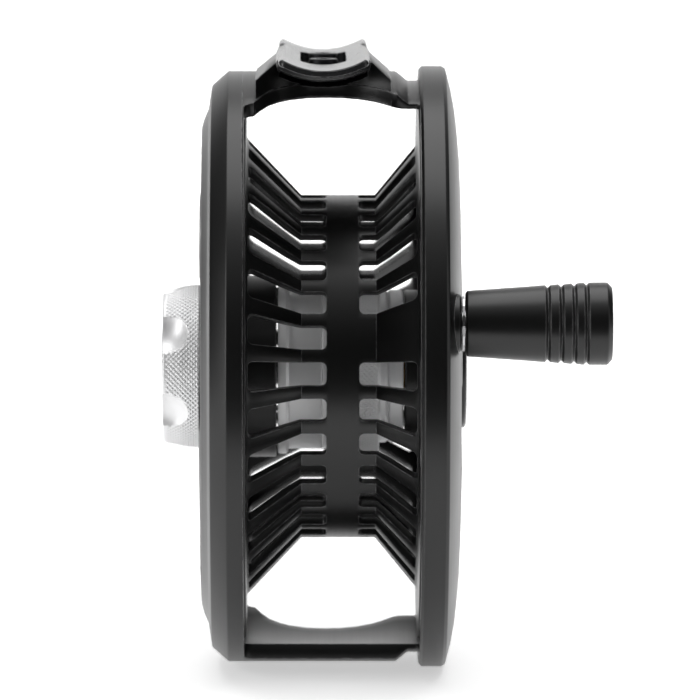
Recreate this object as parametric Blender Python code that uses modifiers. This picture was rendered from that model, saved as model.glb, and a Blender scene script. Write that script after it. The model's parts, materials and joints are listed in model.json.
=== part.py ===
"""Large-arbor fly reel, built as an assembly of separate pieces.

Units are metres and +Z is up.  The spool turns about the X axis: the frame's
back plate and the drag knob are at -X, the palming rim and the handle at +X.
The reel foot is at the top (+Z) and runs along Y.  The dimensions below count
from the spool's axis, at the middle of the arbor.  At the end, the whole reel
is moved so that the origin is the middle of its bounding box.
"""
import math

import bmesh
import bpy
from mathutils import Matrix, Vector

MM = 0.001
TAU = 2.0 * math.pi

# ---- driving dimensions, in millimetres (x is along the axis) -------------
RING_RADIUS = 47.2          # frame's back ring, outside
RING_BORE = 44.0            # frame's back ring, inside
RING_INNER_X = -14.9
PLATE_INNER_X = -17.3       # back plate, side facing the spool
PLATE_OUTER_X = -20.6       # back plate's ring face
ARM_CREST_X = -21.6         # outer face of the raised arms and hub
PILLAR_BORE = 44.7
PILLAR_RADIUS = 47.12       # just under the ring's, so that the two solids overlap cleanly
NEST_X = (12.9, 15.9)       # front ring, nested under the palming rim
NEST_RADII = (43.9, 45.7)
FOOT_X = -2.4               # centre plane of the foot
FOOT_WIDTH = 13.4
FOOT_LENGTH = 60.0
CHANNEL_RADIUS = 12.8
CHANNEL_AXIS_Z = 61.9
FOOT_TOP_Z = CHANNEL_AXIS_Z - math.sqrt(CHANNEL_RADIUS ** 2 - FOOT_WIDTH ** 2 / 4.0)
FOOT_SKIN = 1.1             # thickness of the foot's thin ends
SADDLE_DEPTH = 2.6          # thickness of the foot where it sits in the pillar
SADDLE_HALF = 16.0
POCKET = (7.3, 27.6)        # width and length of the screw pocket
POCKET_FLOOR_Z = 47.9
FOOT_SCREW_Y = 7.6

BOSS_RADIUS = 14.5
BOSS_BORE = 9.8
BOSS_FACE_X = -9.85
SPINDLE_RADIUS = 2.5
SPINDLE_X = (-25.0, 17.6)
KNOB_RADIUS = 13.1
KNOB_X = (-27.9, -21.9)
KNOB_CAP_X = -28.1          # outer face of the cap in the knob
SCALLOP_COUNT = 6
SCALLOP_PHASE = math.radians(30.0)
HOUSING_BORE = 10.4
HOUSING_RADIUS = 13.2
HOUSING_FLANGE = 14.0
HOUSING_X = (-9.6, -0.2)
HOUSING_WALL_X = -1.4
SCREW_CIRCLE = 11.9         # housing screws and the knob's detent
PIN_CIRCLE = 7.5            # push pins that carry the knob's thrust
SCREW_ANGLES = (90.0, 210.0, 330.0)     # degrees from +Y towards +Z
PIN_ANGLES = (150.0, 270.0, 30.0)
HUB_SCREW_ANGLES = (30.0, 150.0, 270.0)
PORT_COUNT = 6              # in the back plate, and in the spool's front web
PORT_PHASE = math.radians(7.3)

ARBOR_RADIUS = 27.4
ARBOR_HALF = 5.86
RIM_RADIUS = 48.0
FACE_X = 19.5               # front face of the spool at its hub
SLOTS = 30                  # slots on each side of the arbor
SLOT_ANGLE = math.radians(7.6)
BAND_X = (-1.95, 3.2)       # unslotted band of the arbor
HANDLE_ANGLE = math.radians(15.0)   # above the horizontal, towards -Y
HANDLE_RADIUS_AT = 40.6     # handle's distance from the spool's axis
HANDLE_X = (19.5, 42.2)
HUB_X = (2.0, 10.3)
GEAR_TEETH = 24
GEAR_RADIUS = 9.4
PAWL_TIP_RADIUS = 9.5       # the pawl rides just clear of the teeth's crests
HUB_SCREW_CIRCLE = 8.4
PAWL_PIVOT = (0.0, 11.3)    # (y, z)
HANDLE_AT = (-HANDLE_RADIUS_AT * math.cos(HANDLE_ANGLE), HANDLE_RADIUS_AT * math.sin(HANDLE_ANGLE))
WEIGHT_AT = (-HANDLE_AT[0], -HANDLE_AT[1])

BOX_MIDDLE = ((KNOB_CAP_X + HANDLE_X[1]) / 2.0, 0.0, (FOOT_TOP_Z - RIM_RADIUS) / 2.0)

FINE, MEDIUM, COARSE, TINY = 60, 24, 16, 12    # facets around turned pieces, by size


# ---- helpers ---------------------------------------------------------------
def reset_scene():
    for obj in list(bpy.data.objects):
        bpy.data.objects.remove(obj, do_unlink=True)


def new_collection(name):
    collection = bpy.data.collections.new(name)
    bpy.context.scene.collection.children.link(collection)
    return collection


def make_material(name, colour, roughness, metallic):
    mat = bpy.data.materials.new(name)
    mat.use_nodes = True
    shader = mat.node_tree.nodes["Principled BSDF"]
    shader.inputs["Base Color"].default_value = (*colour, 1.0)
    shader.inputs["Roughness"].default_value = roughness
    shader.inputs["Metallic"].default_value = metallic
    return mat


def add_object(name, mesh, collection, mat=None):
    obj = bpy.data.objects.new(name, mesh)
    collection.objects.link(obj)
    if mat is not None:
        mesh.materials.append(mat)
    return obj


def hide_as_cutter(obj):
    obj.hide_render = True
    obj.display_type = "WIRE"
    return obj


def on_circle(radius, degrees):
    """A point (y, z) at an angle measured from +Y towards +Z."""
    angle = math.radians(degrees)
    return radius * math.cos(angle), radius * math.sin(angle)


def evaluated_mesh(obj):
    """A plain mesh of the object as its modifiers leave it."""
    depsgraph = bpy.context.evaluated_depsgraph_get()
    return bpy.data.meshes.new_from_object(obj.evaluated_get(depsgraph))


def polar(radius, angle):
    """A point (y, z) at an angle measured from -Y towards +Z."""
    return -radius * math.cos(angle), radius * math.sin(angle)


def lathe(name, profile, steps, collection, mat=None, at=(0.0, 0.0)):
    """Turn a profile of (x, radius) points about a line parallel to X.

    The points go outwards along the +X end and back along the outer side.
    A profile that starts and ends on the axis is solid, any other is a ring.
    """
    bm = bmesh.new()
    verts = [bm.verts.new((radius * MM, 0.0, x * MM)) for x, radius in profile]
    for first, second in zip(verts, verts[1:]):
        bm.edges.new((first, second))
    solid = profile[0][1] == 0.0 and profile[-1][1] == 0.0
    if not solid:
        bm.edges.new((verts[-1], verts[0]))
    mesh = bpy.data.meshes.new(name)
    bm.to_mesh(mesh)
    bm.free()
    obj = add_object(name, mesh, collection, mat)
    screw = obj.modifiers.new("turn", "SCREW")
    screw.axis = "Z"
    screw.angle = TAU
    screw.steps = steps
    screw.render_steps = steps
    screw.use_merge_vertices = True
    screw.merge_threshold = 0.00001
    screw.use_smooth_shade = False
    obj.rotation_euler = (0.0, math.pi / 2.0, 0.0)
    obj.location = (0.0, at[0] * MM, at[1] * MM)
    return obj


def ring(name, x_range, radii, steps, collection, mat=None, at=(0.0, 0.0)):
    low, high = x_range
    inner, outer = radii
    profile = [(high, inner), (high, outer), (low, outer), (low, inner)]
    return lathe(name, profile, steps, collection, mat, at)


def rod(name, x_range, radius, steps, collection, mat=None, at=(0.0, 0.0)):
    low, high = x_range
    profile = [(high, 0.0), (high, radius), (low, radius), (low, 0.0)]
    return lathe(name, profile, steps, collection, mat, at)


def box(name, low, high, collection, mat=None):
    bm = bmesh.new()
    bmesh.ops.create_cube(bm, size=1.0)
    size = [(b - a) * MM for a, b in zip(low, high)]
    bmesh.ops.scale(bm, vec=size, verts=bm.verts)
    centre = [(a + b) / 2.0 * MM for a, b in zip(low, high)]
    mesh = bpy.data.meshes.new(name)
    bm.to_mesh(mesh)
    bm.free()
    obj = add_object(name, mesh, collection, mat)
    obj.location = centre
    return obj


def outline_solid(name, points, thickness, plane, middle, collection, mat=None):
    """Extrude a flat outline.  plane names the axis it is extruded along."""
    curve = bpy.data.curves.new(name, "CURVE")
    curve.dimensions = "2D"
    curve.fill_mode = "BOTH"
    curve.extrude = thickness / 2.0 * MM
    spline = curve.splines.new("POLY")
    spline.points.add(len(points) - 1)
    for point, (u, v) in zip(spline.points, points):
        point.co = (u * MM, v * MM, 0.0, 1.0)
    spline.use_cyclic_u = True
    guide = bpy.data.objects.new(name + "_outline", curve)
    collection.objects.link(guide)
    if plane == "Z":            # outline in X, Y
        guide.matrix_world = Matrix.Translation((0.0, 0.0, middle * MM))
    elif plane == "Y":          # outline in X, Z
        guide.matrix_world = (Matrix.Translation((0.0, middle * MM, 0.0))
                              @ Matrix.Rotation(math.pi / 2.0, 4, "X"))
    else:                       # outline in Y, Z
        turn = Matrix(((0, 0, 1, 0), (1, 0, 0, 0), (0, 1, 0, 0), (0, 0, 0, 1)))
        guide.matrix_world = Matrix.Translation((middle * MM, 0.0, 0.0)) @ turn
    bpy.context.view_layer.update()
    mesh = evaluated_mesh(guide)
    bm = bmesh.new()
    bm.from_mesh(mesh)
    bmesh.ops.remove_doubles(bm, verts=bm.verts, dist=0.000001)
    bmesh.ops.recalc_face_normals(bm, faces=bm.faces)
    bm.to_mesh(mesh)
    bm.free()
    place = guide.matrix_world.copy()
    bpy.data.objects.remove(guide, do_unlink=True)
    obj = add_object(name, mesh, collection, mat)
    obj.matrix_world = place
    return obj


def merge_solids(name, objects, collection):
    """Put several separate solids in one mesh, to cut or join them at once."""
    bm = bmesh.new()
    bpy.context.view_layer.update()
    for obj in objects:
        mesh = evaluated_mesh(obj)
        mesh.transform(obj.matrix_world)
        bm.from_mesh(mesh)
        bpy.data.meshes.remove(mesh)
        bpy.data.objects.remove(obj, do_unlink=True)
    merged = bpy.data.meshes.new(name)
    bm.to_mesh(merged)
    bm.free()
    return hide_as_cutter(add_object(name, merged, collection))


def boolean(target, operand, operation):
    modifier = target.modifiers.new(operation.lower(), "BOOLEAN")
    modifier.operation = operation
    modifier.solver = "EXACT"
    modifier.object = hide_as_cutter(operand)


def shade(obj, degrees=35.0):
    obj.data.shade_smooth()
    obj.data.set_sharp_from_angle(angle=math.radians(degrees))


def coil(name, x_range, radius, wire, turns, collection, mat, at):
    """A compression spring along X: a poly-line curve with a round bevel."""
    per_turn = 10
    count = turns * per_turn + 1
    curve = bpy.data.curves.new(name, "CURVE")
    curve.dimensions = "3D"
    curve.bevel_depth = wire * MM
    curve.bevel_resolution = 1
    curve.use_fill_caps = True
    spline = curve.splines.new("POLY")
    spline.points.add(count - 1)
    low, high = x_range
    for index, point in enumerate(spline.points):
        share = index / (count - 1)
        angle = TAU * turns * share
        point.co = ((low + (high - low) * share) * MM, radius * math.cos(angle) * MM,
                    radius * math.sin(angle) * MM, 1.0)
    obj = bpy.data.objects.new(name, curve)
    collection.objects.link(obj)
    curve.materials.append(mat)
    obj.location = (0.0, at[0] * MM, at[1] * MM)
    return obj


def fastener_profile(tip, top, shank, head, head_height, socket):
    """A socket-head screw whose head is at the +X end."""
    return [(top - socket, 0.0), (top - socket, head * 0.5), (top, head * 0.5), (top, head),
            (top - head_height, head), (top - head_height, shank), (tip, shank), (tip, 0.0)]


def swirl_port(inner, outer, start, sweep_angle, twist, points=6):
    """Outline (y, z) of a port between two swirling arms."""
    def at(radius, angle):
        return radius * math.cos(angle), radius * math.sin(angle)

    def lean(share):
        return twist * share ** 1.3

    edge = [index / (points - 1) for index in range(points)]
    outline = []
    for share in edge:
        radius = inner + (outer - inner) * share
        outline.append(at(radius, start + lean(share)))
    for share in edge[1:-1]:
        outline.append(at(outer, start + lean(1.0) + sweep_angle * share))
    for share in reversed(edge):
        radius = inner + (outer - inner) * share
        outline.append(at(radius, start + lean(share) + sweep_angle * (0.62 + 0.38 * share)))
    return outline


# ---- frame -----------------------------------------------------------------
def pillar_solid(name, flip, cutters):
    """One pillar between the rings; flip turns it half way round the axis."""
    shell = lathe(name + "_shell", [
        (13.4, 44.1), (13.4, 45.6), (10.9, 45.6), (9.15, PILLAR_RADIUS), (-17.2, PILLAR_RADIUS),
        (-17.2, PILLAR_BORE), (11.8, PILLAR_BORE), (12.6, 44.1)], FINE, cutters)
    plan = [(-18.0, 12.0), (14.0, 12.0), (14.0, -15.5), (10.2, -15.5), (8.8, -14.2)]
    crown_x, crown_y, crown_sag = -2.6, -10.2, 5.2
    for index in range(9):
        share = index / 8.0
        x = 7.0 - share * 21.0
        reach = (x - crown_x) / 11.4
        plan.append((x, crown_y - crown_sag * reach * reach))
    plan += [(-16.2, -17.0), (-18.0, -17.0)]
    prism = outline_solid(name + "_plan", plan, 14.0, "Z", 45.0, cutters)
    if not flip:
        pad = outline_solid(name + "_pad", [
            (-13.1, 45.6), (-13.1, 46.9), (-9.36, 49.9), (4.83, 49.9), (8.3, 46.9),
            (8.3, 45.6)], 27.0, "Y", 0.0, cutters)
        boolean(shell, pad, "UNION")
    boolean(shell, prism, "INTERSECT")
    bpy.context.view_layer.update()
    mesh = evaluated_mesh(shell)
    mesh.transform(shell.matrix_world)
    if flip:
        mesh.transform(Matrix.Rotation(math.pi, 4, "X"))
    for obj in [shell, prism] + ([pad] if not flip else []):
        bpy.data.objects.remove(obj, do_unlink=True)
    return hide_as_cutter(add_object(name, mesh, cutters))


def frame_holes(cutters):
    """Through holes of the back plate, as separate solids in one cutter."""
    holes = []
    for degrees in SCREW_ANGLES:
        holes.append(lathe("screw_hole", [
            (-9.0, 0.0), (-9.0, 0.95), (-20.0, 0.95), (-20.0, 1.35), (-22.5, 1.35),
            (-22.5, 0.0)], TINY, cutters, at=on_circle(SCREW_CIRCLE, degrees)))
    for degrees in PIN_ANGLES:
        holes.append(rod("pin_hole", (-20.5, -16.5), 1.25, TINY, cutters,
                         at=on_circle(PIN_CIRCLE, degrees)))
    holes.append(rod("detent_hole", (-22.5, -18.2), 1.05, TINY, cutters, at=(SCREW_CIRCLE, 0.0)))
    for index in range(PORT_COUNT):
        outline = swirl_port(17.2, 38.2, PORT_PHASE + index * TAU / PORT_COUNT,
                             math.radians(41.0), math.radians(24.0))
        holes.append(outline_solid("port", outline, 8.0, "X", -19.5, cutters))
    return merge_solids("frame_holes", holes, cutters)


def stand_up(obj, side):
    """Set a turned piece upright on the foot's middle plane, before or behind the axis."""
    obj.rotation_euler = (0.0, 0.0, 0.0)
    obj.location = (FOOT_X * MM, side * FOOT_SCREW_Y * MM, 0.0)


def foot_holes(name, z_range, cutters):
    holes = []
    for side in (-1.0, 1.0):
        hole = rod(name, z_range, 1.35, COARSE, cutters)
        stand_up(hole, side)
        holes.append(hole)
    return holes


def saddle_cutters(cutters):
    """The space that the foot and its two screws take in the top pillar."""
    groove_radius = CHANNEL_RADIUS + SADDLE_DEPTH + 0.2
    groove = rod("saddle", (-SADDLE_HALF - 4.0, SADDLE_HALF + 4.0), groove_radius, 48, cutters)
    groove.rotation_euler = (math.pi / 2.0, 0.0, 0.0)
    groove.location = (FOOT_X * MM, 0.0, CHANNEL_AXIS_Z * MM)
    screws = foot_holes("screw_space", (43.0, 47.5), cutters)
    width = FOOT_WIDTH / 2.0 + 0.2
    block = box("saddle_limit", (FOOT_X - width, -20.0, 44.0), (FOOT_X + width, 20.0, 60.0),
                cutters)
    boolean(groove, block, "INTERSECT")
    bpy.context.view_layer.update()
    spaces = [merge_solids("saddle_space", [groove], cutters),
              merge_solids("saddle_screws", screws, cutters)]
    bpy.data.objects.remove(block, do_unlink=True)
    return spaces


def make_frame(parts, cutters, mat):
    frame = lathe("frame", [
        (PLATE_INNER_X, 2.8), (PLATE_INNER_X, BOSS_BORE), (BOSS_FACE_X, BOSS_BORE),
        (BOSS_FACE_X, BOSS_RADIUS), (PLATE_INNER_X, BOSS_RADIUS), (PLATE_INNER_X, RING_BORE),
        (RING_INNER_X, RING_BORE), (RING_INNER_X, RING_RADIUS), (-17.6, RING_RADIUS),
        (-20.1, 44.9), (PLATE_OUTER_X, 41.6), (ARM_CREST_X, 39.4), (ARM_CREST_X, 10.0),
        (-19.6, 10.0), (-19.6, 2.8)], FINE, parts, mat)
    nest = ring("nested_ring", NEST_X, NEST_RADII, FINE, cutters)
    top = pillar_solid("top_pillar", False, cutters)
    for space in saddle_cutters(cutters):
        boolean(top, space, "DIFFERENCE")
    bottom = pillar_solid("bottom_pillar", True, cutters)
    boolean(frame, top, "UNION")
    boolean(frame, bottom, "UNION")
    boolean(frame, nest, "UNION")
    boolean(frame, frame_holes(cutters), "DIFFERENCE")
    shade(frame)


# ---- foot ------------------------------------------------------------------
def channel_arc(radius, half_width, points):
    """Points (x, z) of an arc about the channel's axis, from -X to +X."""
    reach = math.asin(half_width / radius)
    arc = []
    for index in range(points):
        angle = -reach + 2.0 * reach * index / (points - 1)
        arc.append((FOOT_X + radius * math.sin(angle), CHANNEL_AXIS_Z - radius * math.cos(angle)))
    return arc


def gutter(name, skin, length, collection, mat=None):
    """A strip of even thickness whose top is the concave channel."""
    half = FOOT_WIDTH / 2.0
    top = channel_arc(CHANNEL_RADIUS, half, 8)
    bottom = channel_arc(CHANNEL_RADIUS + skin, half, 8)
    return outline_solid(name, top + bottom[::-1], length, "Y", 0.0, collection, mat)


def make_foot(parts, cutters, mat):
    foot = gutter("reel_foot", FOOT_SKIN, FOOT_LENGTH, parts, mat)
    block = gutter("foot_block", SADDLE_DEPTH, 2.0 * SADDLE_HALF, cutters)
    width, length = POCKET
    pocket = box("pocket", (FOOT_X - width / 2.0, -length / 2.0, POCKET_FLOOR_Z),
                 (FOOT_X + width / 2.0, length / 2.0, 53.0), cutters)
    holes = foot_holes("foot_hole", (45.0, 48.5), cutters)
    boolean(foot, block, "UNION")
    boolean(foot, pocket, "DIFFERENCE")
    boolean(foot, merge_solids("foot_holes", holes, cutters), "DIFFERENCE")


def make_foot_screws(parts, mat):
    for name, side in (("foot_screw_front", -1.0), ("foot_screw_rear", 1.0)):
        profile = fastener_profile(44.9, 49.7, 1.1, 2.3, 1.5, 0.9)
        screw = lathe(name, profile, COARSE, parts, mat)
        stand_up(screw, side)
        shade(screw)


# ---- drag, in the frame ------------------------------------------------------
def make_knob(parts, cutters, mat, cap_mat):
    outer, base = KNOB_X
    profile = [(base + 0.4, 5.0), (base + 0.4, 9.0), (base, 9.0), (base, 12.7), (base - 0.4, 13.1),
               (-25.0, 12.85), (outer + 0.5, 12.5), (outer, 12.0), (outer, 6.8),
               (outer + 0.6, 6.8), (outer + 0.6, 6.4), (-25.6, 6.4), (-25.6, 2.8), (base - 0.6, 2.8),
               (base - 0.6, 5.0)]
    knob = lathe("drag_knob", profile, 36, parts, mat)
    scallops = []
    for index in range(SCALLOP_COUNT):
        bm = bmesh.new()
        bmesh.ops.create_uvsphere(bm, u_segments=12, v_segments=8, radius=5.0 * MM)
        mesh = bpy.data.meshes.new("scallop")
        bm.to_mesh(mesh)
        bm.free()
        scallop = add_object("scallop", mesh, cutters)
        y, z = polar(15.8, SCALLOP_PHASE + TAU * index / SCALLOP_COUNT)
        scallop.location = (outer * MM, y * MM, z * MM)
        scallops.append(scallop)
    boolean(knob, merge_solids("scallops", scallops, cutters), "DIFFERENCE")
    shade(knob, 40.0)
    shade(lathe("knob_cap", [
        (outer + 0.5, 0.0), (outer + 0.5, 6.3), (outer, 6.3), (KNOB_CAP_X, 5.9),
        (KNOB_CAP_X, 0.0)], MEDIUM, parts, cap_mat))
    shade(rod("knob_screw", (-26.6, -25.3), 2.2, COARSE, parts, cap_mat))


def make_thrust_group(parts, mat):
    shade(ring("thrust_ring", (-21.2, -20.3), (5.2, 9.6), MEDIUM, parts, mat))
    for index, degrees in enumerate(PIN_ANGLES):
        shade(rod("thrust_pin_%d" % (index + 1), (-20.0, -15.4), 1.0, TINY, parts, mat,
                  on_circle(PIN_CIRCLE, degrees)))
    shade(ring("thrust_washer_rear", (-15.1, -14.1), (5.4, 9.3), COARSE, parts, mat))
    shade(lathe("disc_spring_rear", [(-13.2, 4.4), (-12.5, 4.4), (-13.1, 9.0), (-13.8, 9.0)],
                COARSE, parts, mat))
    shade(lathe("disc_spring_front", [(-12.2, 4.4), (-11.5, 4.4), (-10.9, 9.0), (-11.6, 9.0)],
                COARSE, parts, mat))
    shade(ring("thrust_washer_front", (-10.6, -10.0), (4.4, 9.3), COARSE, parts, mat))


def make_housing(parts, cutters, mat):
    back, front = HOUSING_X
    housing = lathe("drag_housing", [
        (front, 5.0), (front, HOUSING_RADIUS - 0.4), (front - 0.4, HOUSING_RADIUS),
        (-8.0, HOUSING_RADIUS), (-8.0, HOUSING_FLANGE - 0.4), (-8.4, HOUSING_FLANGE),
        (back, HOUSING_FLANGE), (back, HOUSING_BORE), (HOUSING_WALL_X, HOUSING_BORE),
        (HOUSING_WALL_X, 5.0)], 30, parts, mat)
    holes = [rod("pawl_pin_hole", (-1.1, 0.5), 0.8, TINY, cutters, at=PAWL_PIVOT)]
    for degrees in SCREW_ANGLES:
        holes.append(rod("thread", (-10.5, -6.5), 0.95, TINY, cutters,
                         at=on_circle(SCREW_CIRCLE, degrees)))
    boolean(housing, merge_solids("housing_holes", holes, cutters), "DIFFERENCE")
    shade(housing)


def make_housing_screws(parts, mat):
    for index, degrees in enumerate(SCREW_ANGLES):
        shade(lathe("housing_screw_%d" % (index + 1), [
            (-6.8, 0.0), (-6.8, 0.75), (-20.2, 0.75), (-20.2, 1.15), (-21.4, 1.15),
            (-21.4, 0.6), (-20.8, 0.6), (-20.8, 0.0)], TINY, parts, mat,
            on_circle(SCREW_CIRCLE, degrees)))


def make_spindle(parts, mat):
    left, right = SPINDLE_X
    shade(lathe("spindle", [
        (right, 0.0), (right, 2.1), (right - 0.4, SPINDLE_RADIUS), (-15.9, SPINDLE_RADIUS),
        (-15.9, 5.0), (-17.0, 5.0), (-17.0, SPINDLE_RADIUS), (left, SPINDLE_RADIUS),
        (left, 0.0)], COARSE, parts, mat))


def make_brake(parts, steel, silver, carbon, rubber):
    """The discs inside the drag housing, from the back to the front."""
    shade(ring("pressure_plate", (-9.2, -8.0), (2.8, 10.1), MEDIUM, parts, steel))
    shade(ring("friction_disc_rear", (-7.5, -6.5), (5.0, 10.0), MEDIUM, parts, carbon))
    shade(lathe("drag_rotor", [
        (9.6, 2.8), (9.6, 4.3), (9.3, 4.6), (-5.0, 4.6), (-5.0, 10.0), (-6.2, 10.0),
        (-6.2, 4.6), (-7.5, 4.6), (-7.5, 2.8)], MEDIUM, parts, silver))
    shade(ring("friction_disc_front", (-4.7, -3.7), (5.0, 10.0), MEDIUM, parts, carbon))
    shade(ring("stator_plate", (-3.4, -2.6), (5.1, 10.1), MEDIUM, parts, steel))
    shade(ring("rotor_seal", (-2.3, -1.7), (4.9, 7.5), COARSE, parts, rubber))


def make_detent(parts, mat):
    bm = bmesh.new()
    bmesh.ops.create_uvsphere(bm, u_segments=12, v_segments=8, radius=0.75 * MM)
    mesh = bpy.data.meshes.new("detent_ball")
    bm.to_mesh(mesh)
    bm.free()
    ball = add_object("detent_ball", mesh, parts, mat)
    ball.location = (-21.0 * MM, SCREW_CIRCLE * MM, 0.0)
    ball.data.shade_smooth()
    coil("detent_spring", (-19.9, -18.6), 0.6, 0.12, 3, parts, mat, (SCREW_CIRCLE, 0.0))


# ---- click -------------------------------------------------------------------
def make_click(parts, cutters, mat):
    points = []
    for tooth in range(GEAR_TEETH):
        for radius, share in ((8.5, -0.2), (8.5, 0.2), (GEAR_RADIUS, 0.5)):
            angle = TAU * (tooth + share) / GEAR_TEETH
            points.append((radius * math.cos(angle), radius * math.sin(angle)))
    gear = outline_solid("click_gear", points, 1.2, "X", 1.1, parts, mat)
    bore = rod("gear_bore", (0.0, 2.2), 5.4, COARSE, cutters)
    boolean(gear, bore, "DIFFERENCE")
    outline = [(91.0, 12.6), (82.0, 12.7), (72.0, 12.1), (63.0, 11.7), (58.0, 11.5), (57.6, 10.6),
               (59.3, PAWL_TIP_RADIUS), (60.7, PAWL_TIP_RADIUS), (62.2, 10.2), (72.0, 10.0),
               (86.0, 9.9), (94.0, 10.4), (96.0, 11.6)]
    points = [on_circle(radius, degrees) for degrees, radius in outline]
    pawl = outline_solid("click_pawl", points, 1.1, "X", 1.05, parts, mat)
    boolean(pawl, rod("pawl_bore", (0.0, 2.2), 0.85, TINY, cutters, at=PAWL_PIVOT), "DIFFERENCE")
    set_origin(pawl, (1.05 * MM, PAWL_PIVOT[0] * MM, PAWL_PIVOT[1] * MM))
    shade(rod("pawl_pin", (-0.9, 1.75), 0.6, TINY, parts, mat, PAWL_PIVOT))
    shade(ring("pawl_spring", (-0.1, 0.25), (0.85, 1.3), TINY, parts, mat, PAWL_PIVOT))


def set_origin(obj, place):
    """Move an object's origin to a point without moving its shape."""
    bpy.context.view_layer.update()
    target = Matrix.Translation(place)
    obj.data.transform(target.inverted() @ obj.matrix_world)
    obj.matrix_world = target


# ---- spool -------------------------------------------------------------------
def slot_wedge(bm, x_range, angle):
    """A radial slot cutter; its sides follow radii from the axis."""
    made = bmesh.ops.create_cube(bm, size=1.0)
    spread = math.tan(SLOT_ANGLE / 2.0)
    turn = Matrix.Rotation(-angle, 3, "X")
    for vert in made["verts"]:
        x = x_range[0] if vert.co.x < 0.0 else x_range[1]
        radius = 22.0 if vert.co.y > 0.0 else 40.0
        side = radius * spread if vert.co.z > 0.0 else -radius * spread
        vert.co = turn @ Vector((x * MM, -radius * MM, side * MM))


def arbor_slots(cutters):
    bm = bmesh.new()
    for index in range(SLOTS):
        angle = HANDLE_ANGLE + TAU * index / SLOTS
        slot_wedge(bm, (-14.2, BAND_X[0]), angle)
        if index > 0:               # solid under the handle
            slot_wedge(bm, (BAND_X[1], 12.1), angle)
    mesh = bpy.data.meshes.new("arbor_slots")
    bm.to_mesh(mesh)
    bm.free()
    return hide_as_cutter(add_object("arbor_slots", mesh, cutters))


def web_holes(cutters):
    holes = []
    for index in range(PORT_COUNT):
        outline = swirl_port(14.8, 35.0, index * TAU / PORT_COUNT + math.radians(8.0),
                             math.radians(40.0), math.radians(-22.0))
        holes.append(outline_solid("web_port", outline, 6.0, "X", 18.5, cutters))
    for degrees in HUB_SCREW_ANGLES:
        holes.append(lathe("hub_screw_space", [
            (21.0, 0.0), (21.0, 1.4), (17.2, 1.4), (17.2, 1.05), (10.0, 1.05), (10.0, 0.0)],
            TINY, cutters, at=on_circle(HUB_SCREW_CIRCLE, degrees)))
    holes.append(rod("stud_hole", (13.7, 21.0), 1.6, TINY, cutters, at=HANDLE_AT))
    holes.append(rod("weight_recess", (16.9, 21.0), 3.8, MEDIUM, cutters, at=WEIGHT_AT))
    return merge_solids("web_holes", holes, cutters)


def make_spool(parts, cutters, mat):
    spool = lathe("spool", [
        (19.2, 6.7), (19.2, 10.1), (FACE_X, 10.3), (FACE_X, 20.8), (19.15, 34.7), (18.3, 41.6),
        (17.1, 47.4), (16.6, RIM_RADIUS), (13.4, RIM_RADIUS), (12.8, 47.4), (12.8, 46.1),
        (16.3, 46.1), (16.3, 43.5), (12.6, 43.5), (12.6, 35.6), (ARBOR_HALF, ARBOR_RADIUS),
        (-ARBOR_HALF, ARBOR_RADIUS), (-14.6, 36.6), (-14.6, 43.4), (-16.1, 43.4), (-16.1, 36.2),
        (-6.4, 26.2), (6.4, 26.2), (13.9, 35.4), (13.9, 42.3), (16.2, 42.3), (16.9, 20.8),
        (16.9, 12.2), (10.6, 12.2), (10.6, 6.7)], FINE, parts, mat)
    collar = lathe("handle_collar", [(18.9, 0.0), (18.9, 4.2), (18.5, 4.6), (17.4, 4.6),
                                     (17.4, 0.0)], MEDIUM, cutters, at=HANDLE_AT)
    boss = rod("handle_boss", (13.0, 17.6), 2.5, TINY, cutters, at=HANDLE_AT)
    boolean(spool, arbor_slots(cutters), "DIFFERENCE")
    boolean(spool, collar, "UNION")
    boolean(spool, boss, "UNION")
    boolean(spool, web_holes(cutters), "DIFFERENCE")
    shade(spool)


def make_spool_hub(parts, cutters, mat, screw_mat):
    back, front = HUB_X
    hub = lathe("spool_hub", [
        (front, 6.7), (front, 12.2), (8.2, 12.2), (7.9, 11.8), (7.6, 12.2), (6.5, 12.2),
        (6.5, 13.7), (6.2, 14.0), (2.3, 14.0), (back, 13.7), (back, 5.2), (2.9, 5.2),
        (2.9, 6.7)], 30, parts, mat)
    holes = []
    profile = fastener_profile(6.0, 18.9, 0.8, 1.2, 1.4, 0.6)
    for index, degrees in enumerate(HUB_SCREW_ANGLES):
        at = on_circle(HUB_SCREW_CIRCLE, degrees)
        holes.append(rod("hub_thread", (5.6, 11.0), 1.0, TINY, cutters, at=at))
        shade(lathe("hub_screw_%d" % (index + 1), profile, TINY, parts, screw_mat, at))
    boolean(hub, merge_solids("hub_threads", holes, cutters), "DIFFERENCE")
    shade(hub)


def make_bearings(parts, steel, bronze):
    shade(ring("one_way_clutch", (3.2, 9.3), (4.95, 6.4), MEDIUM, parts, steel))
    shade(ring("bearing_sleeve", (9.9, 16.9), (2.8, 3.6), COARSE, parts, bronze))
    shade(ring("bearing_inner_ring", (11.2, 14.8), (3.75, 4.5), COARSE, parts, steel))
    shade(ring("bearing_cage", (12.1, 13.9), (4.7, 5.4), COARSE, parts, bronze))
    shade(ring("bearing_outer_ring", (11.2, 14.8), (5.6, 6.45), COARSE, parts, steel))
    shade(ring("bearing_clip", (15.2, 15.9), (5.0, 6.45), COARSE, parts, steel))


def make_hub_cap(parts, mat):
    shade(lathe("hub_cap", [
        (20.4, 0.0), (20.4, 9.5), (20.1, 9.9), (19.4, 9.9), (19.4, 6.4), (18.2, 6.4),
        (18.2, 0.0)], MEDIUM, parts, mat))


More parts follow.
